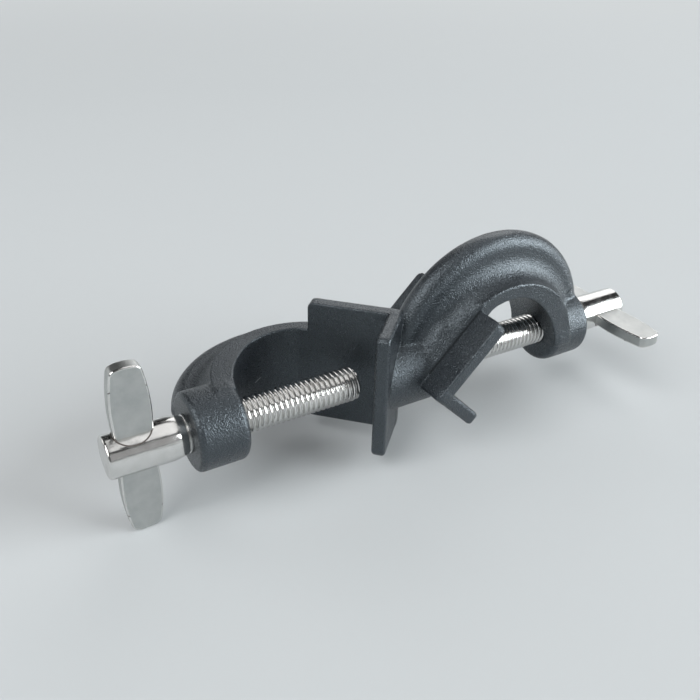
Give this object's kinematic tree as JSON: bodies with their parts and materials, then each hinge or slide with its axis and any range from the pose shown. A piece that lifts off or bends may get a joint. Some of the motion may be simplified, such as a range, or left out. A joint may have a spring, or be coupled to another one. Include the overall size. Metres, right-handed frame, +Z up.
{
  "type": "boss head clamp",
  "caption": "Boss head clamp that joins two crossed laboratory rods, with a V jaw, a curved arm and a wing screw for each rod.",
  "frame": {"origin": "the inner corner of the left V jaw, on the screws' common axis and halfway along the jaw", "axes": "+X along the screws, towards the right screw's head; +Y the way the left arm bulges, along the rod held in the right jaw; +Z up the stand rod held in the left jaw, the way the right arm bulges"},
  "size_m": [0.1404, 0.0494, 0.0494],
  "materials": {
    "body_coat": "cast aluminium with a fine textured charcoal powder coat",
    "screw_plating": "bright plated steel",
    "wing_plating": "satin plated steel with bright edges"
  },
  "bodies": {
    "clamp": {"clamp_body": "body_coat"},
    "left_screw_set": {"left_screw": "screw_plating", "left_wing": "wing_plating"},
    "right_screw_set": {"right_screw": "screw_plating", "right_wing": "wing_plating"}
  },
  "joints": [
    {"name": "left_screw_travel", "type": "slide", "parent": "clamp", "child": "left_screw_set", "axis": [-1, 0, 0], "range_m": [0, 0.02625]},
    {"name": "right_screw_travel", "type": "slide", "parent": "clamp", "child": "right_screw_set", "axis": [1, 0, 0], "range_m": [0, 0.02625]}
  ]
}
